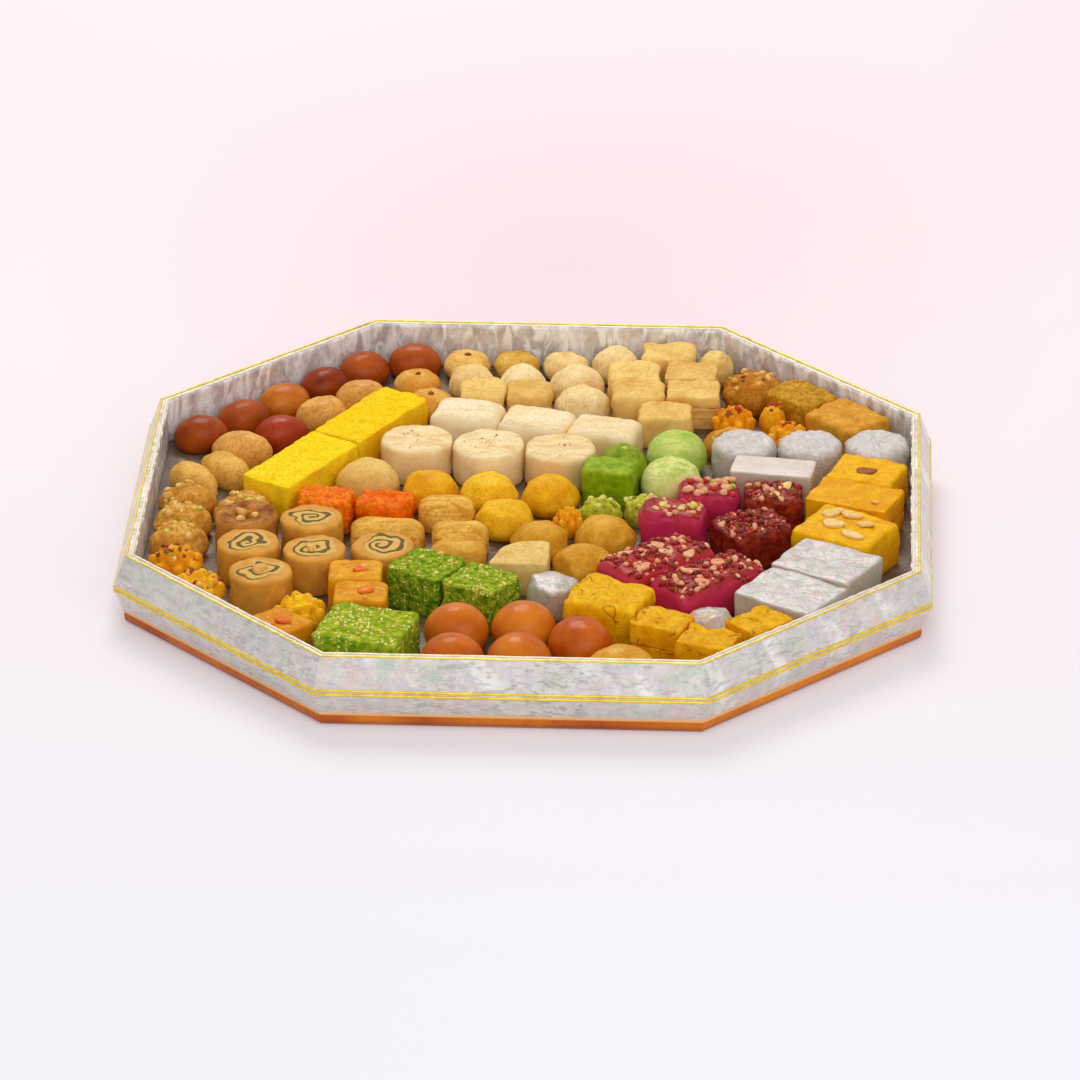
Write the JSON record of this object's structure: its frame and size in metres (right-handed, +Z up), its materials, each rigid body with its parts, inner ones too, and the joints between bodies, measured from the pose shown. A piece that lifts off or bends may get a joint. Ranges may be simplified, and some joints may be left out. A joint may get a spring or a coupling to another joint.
{
  "type": "presentation box of assorted sweets",
  "caption": "Low eight-sided silver tray with double gold beads and a brown base, foil lined and packed with rows of small milk, nut and syrup sweets that lift out.",
  "frame": {"origin": "middle of the tray's underside, on the surface it stands on", "axes": "+Z up, front of the tray at -Y, +X to the right seen from the front"},
  "size_m": [0.4614, 0.4614, 0.0428],
  "materials": {
    "brown_base": "glossy brown-orange board",
    "padded_board": "plain board",
    "pearl_band": "pearly silver paper, marbled with faint lavender, green and pink",
    "gold_bead": "bright yellow gold",
    "gold_piping": "pale gold",
    "cream_piping": "cream gold",
    "silver_foil": "crinkled silver foil",
    "floor_lining": "dull silver foil",
    "jamun_brown": "glossy syrup-soaked brown",
    "jamun_red": "glossy red-brown",
    "tan_oval": "tan with faint creases",
    "dimpled_peda": "tan with a nut in the dimple",
    "bright_yellow": "bright yellow, crumbly top",
    "cream_bar": "smooth cream",
    "cream_slice": "cream with scratched tops",
    "yellow_peda": "warm yellow",
    "cream_peda": "pale cream yellow",
    "orange_crumble": "orange crumbs",
    "tan_roll": "tan, fine grain",
    "tan_peda": "golden tan",
    "cream_wedge": "pale cream",
    "silver_leaf": "silver leaf on milk sweet",
    "pinwheel": "tan with a dark swirl",
    "open_roll": "tan with a nut filling",
    "tan_finger": "tan",
    "tan_mound": "tan with yellow cream",
    "nut_flower": "orange-brown nuts",
    "orange_flower": "orange",
    "dotted_square": "orange-yellow with a red dot",
    "rough_green": "rough pistachio green",
    "light_green": "pistachio green with pale edges",
    "jamun_sienna": "glossy syrup-soaked orange-brown",
    "honey_peda": "honey yellow",
    "yellow_burfi": "golden yellow",
    "thin_burfi": "cracked yellow sheets",
    "magenta_bar": "magenta with chopped nuts",
    "magenta_wedge": "magenta with chopped nuts",
    "red_nut": "dark red with chopped nuts",
    "saffron": "saffron yellow with a brown dimple",
    "saffron_block": "saffron yellow",
    "almond_saffron": "saffron yellow with almond slices",
    "silver_disc": "silver leaf with lavender and green tints",
    "lime_round": "pale lime with fine lines",
    "dark_green": "leaf green",
    "pistachio": "pistachio crumble",
    "nut_cluster": "caramel nuts",
    "back_flower": "deep orange",
    "back_round": "cream to tan",
    "back_slab": "cream to tan, fine layers"
  },
  "bodies": {
    "tray": {"base_plate": "brown_base", "floor_board": "padded_board", "front_wall": "pearl_band", "front_right_wall": "pearl_band", "right_wall": "pearl_band", "back_right_wall": "pearl_band", "back_wall": "pearl_band", "back_left_wall": "pearl_band", "left_wall": "pearl_band", "front_left_wall": "pearl_band", "gold_beads": "gold_bead", "rim_piping": "gold_piping", "inner_piping": "cream_piping", "wall_foil": "silver_foil", "floor_foil": "floor_lining"},
    "jamun_group": {"back_jamun": "jamun_brown", "red_jamun": "jamun_red"},
    "tan_oval_group": {"tan_ovals": "tan_oval", "dimpled_peda": "dimpled_peda"},
    "yellow_bar_group": {"yellow_bar_front": "bright_yellow", "yellow_bar_back": "bright_yellow"},
    "cream_bar_group": {"cream_bars": "cream_bar"},
    "cream_slice_group": {"cream_slices": "cream_slice"},
    "yellow_peda_group": {"yellow_peda": "yellow_peda", "cream_peda": "cream_peda"},
    "crumble_group": {"orange_crumble": "orange_crumble"},
    "roll_group": {"tan_rolls": "tan_roll"},
    "tan_peda_group": {"tan_peda": "tan_peda", "cream_wedge": "cream_wedge", "silver_lump": "silver_leaf"},
    "pinwheel_group": {"pinwheel_rolls": "pinwheel", "open_roll": "open_roll"},
    "mound_group": {"left_fingers": "tan_finger", "left_mounds": "tan_mound"},
    "flower_group": {"nut_flowers": "nut_flower", "orange_flower": "orange_flower", "red_dot_squares": "dotted_square"},
    "green_burfi_group": {"green_squares": "rough_green", "green_slab": "light_green"},
    "front_jamun_group": {"front_jamun": "jamun_sienna", "honey_peda": "honey_peda"},
    "yellow_burfi_group": {"yellow_burfi": "yellow_burfi", "thin_burfi": "thin_burfi"},
    "silver_slab_group": {"silver_slabs": "silver_leaf"},
    "magenta_group": {"magenta_bars": "magenta_bar", "magenta_wedges": "magenta_wedge", "red_nut_slabs": "red_nut"},
    "saffron_group": {"dimple_burfi": "saffron", "yellow_block": "saffron_block", "almond_block": "almond_saffron"},
    "silver_disc_group": {"silver_discs": "silver_disc", "pale_slab": "silver_disc"},
    "lime_group": {"lime_rounds": "lime_round", "dark_green_pair": "dark_green", "pistachio_pieces": "pistachio"},
    "nut_group": {"nut_clusters": "nut_cluster", "orange_flowers": "back_flower"},
    "back_round_group": {"back_rounds": "back_round"},
    "back_slab_group": {"back_slabs": "back_slab"}
  },
  "joints": [
    {"name": "lift_jamun", "type": "slide", "parent": "tray", "child": "jamun_group", "axis": [0, 0, 1], "range_m": [0, 0.05]},
    {"name": "lift_tan_oval", "type": "slide", "parent": "tray", "child": "tan_oval_group", "axis": [0, 0, 1], "range_m": [0, 0.05]},
    {"name": "lift_yellow_bar", "type": "slide", "parent": "tray", "child": "yellow_bar_group", "axis": [0, 0, 1], "range_m": [0, 0.05]},
    {"name": "lift_cream_bar", "type": "slide", "parent": "tray", "child": "cream_bar_group", "axis": [0, 0, 1], "range_m": [0, 0.05]},
    {"name": "lift_cream_slice", "type": "slide", "parent": "tray", "child": "cream_slice_group", "axis": [0, 0, 1], "range_m": [0, 0.05]},
    {"name": "lift_yellow_peda", "type": "slide", "parent": "tray", "child": "yellow_peda_group", "axis": [0, 0, 1], "range_m": [0, 0.05]},
    {"name": "lift_crumble", "type": "slide", "parent": "tray", "child": "crumble_group", "axis": [0, 0, 1], "range_m": [0, 0.05]},
    {"name": "lift_roll", "type": "slide", "parent": "tray", "child": "roll_group", "axis": [0, 0, 1], "range_m": [0, 0.05]},
    {"name": "lift_tan_peda", "type": "slide", "parent": "tray", "child": "tan_peda_group", "axis": [0, 0, 1], "range_m": [0, 0.05]},
    {"name": "lift_pinwheel", "type": "slide", "parent": "tray", "child": "pinwheel_group", "axis": [0, 0, 1], "range_m": [0, 0.05]},
    {"name": "lift_mound", "type": "slide", "parent": "tray", "child": "mound_group", "axis": [0, 0, 1], "range_m": [0, 0.05]},
    {"name": "lift_flower", "type": "slide", "parent": "tray", "child": "flower_group", "axis": [0, 0, 1], "range_m": [0, 0.05]},
    {"name": "lift_green_burfi", "type": "slide", "parent": "tray", "child": "green_burfi_group", "axis": [0, 0, 1], "range_m": [0, 0.05]},
    {"name": "lift_front_jamun", "type": "slide", "parent": "tray", "child": "front_jamun_group", "axis": [0, 0, 1], "range_m": [0, 0.05]},
    {"name": "lift_yellow_burfi", "type": "slide", "parent": "tray", "child": "yellow_burfi_group", "axis": [0, 0, 1], "range_m": [0, 0.05]},
    {"name": "lift_silver_slab", "type": "slide", "parent": "tray", "child": "silver_slab_group", "axis": [0, 0, 1], "range_m": [0, 0.05]},
    {"name": "lift_magenta", "type": "slide", "parent": "tray", "child": "magenta_group", "axis": [0, 0, 1], "range_m": [0, 0.05]},
    {"name": "lift_saffron", "type": "slide", "parent": "tray", "child": "saffron_group", "axis": [0, 0, 1], "range_m": [0, 0.05]},
    {"name": "lift_silver_disc", "type": "slide", "parent": "tray", "child": "silver_disc_group", "axis": [0, 0, 1], "range_m": [0, 0.05]},
    {"name": "lift_lime", "type": "slide", "parent": "tray", "child": "lime_group", "axis": [0, 0, 1], "range_m": [0, 0.05]},
    {"name": "lift_nut", "type": "slide", "parent": "tray", "child": "nut_group", "axis": [0, 0, 1], "range_m": [0, 0.05]},
    {"name": "lift_back_round", "type": "slide", "parent": "tray", "child": "back_round_group", "axis": [0, 0, 1], "range_m": [0, 0.05]},
    {"name": "lift_back_slab", "type": "slide", "parent": "tray", "child": "back_slab_group", "axis": [0, 0, 1], "range_m": [0, 0.05]}
  ]
}
